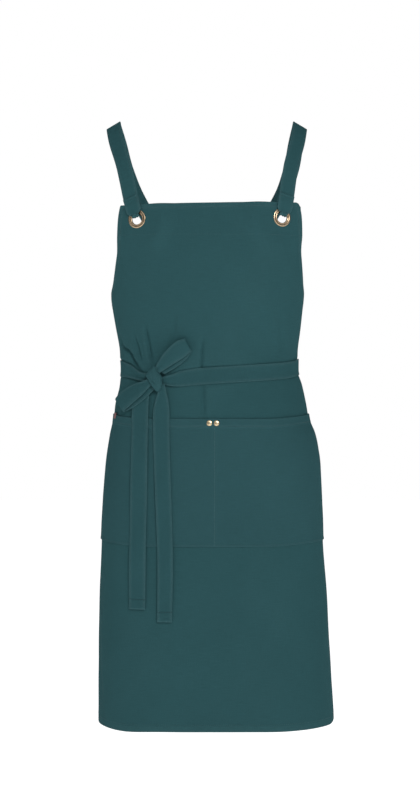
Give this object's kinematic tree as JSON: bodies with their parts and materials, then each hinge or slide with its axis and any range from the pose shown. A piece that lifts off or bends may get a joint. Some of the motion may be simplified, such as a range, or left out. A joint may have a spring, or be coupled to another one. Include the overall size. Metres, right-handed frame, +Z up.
{
  "type": "cross back apron",
  "caption": "Full-length bib apron in plain woven cloth, held by straps through brass eyelets that cross on the back, with a wide front pocket and waist ties knotted in front.",
  "frame": {"origin": "on the wearer's middle plane between the tops of the two shoulder straps, level with their undersides, where the shoulders carry them", "axes": "+Z up, the front of the apron towards -Y, +X towards the wearer's left"},
  "size_m": [0.4142, 0.2523, 1.0532],
  "materials": {
    "cloth": "matt dark teal plain twill",
    "cloth_pocket": "matt dark teal plain twill",
    "strap_cloth": "matt dark teal folded tape",
    "tie_cloth": "matt dark teal folded tape",
    "antique_brass": "antique brass, worn bright on the rim",
    "pale_brass": "pale polished brass",
    "tab_cloth": "bare red-brown woven tab"
  },
  "bodies": {
    "root": {"apron_panel": "cloth", "pocket_panel": "cloth_pocket", "shoulder_strap_left": "strap_cloth", "shoulder_strap_right": "strap_cloth", "waist_tie_left": "tie_cloth", "waist_tie_right": "tie_cloth", "tie_tail_left": "tie_cloth", "tie_tail_right": "tie_cloth", "bow_loop_upper": "tie_cloth", "bow_loop_lower": "tie_cloth", "bow_knot": "tie_cloth", "eyelet_left": "antique_brass", "eyelet_right": "antique_brass", "pocket_rivet_left": "pale_brass", "pocket_rivet_right": "pale_brass", "side_tab": "tab_cloth"}
  },
  "joints": []
}
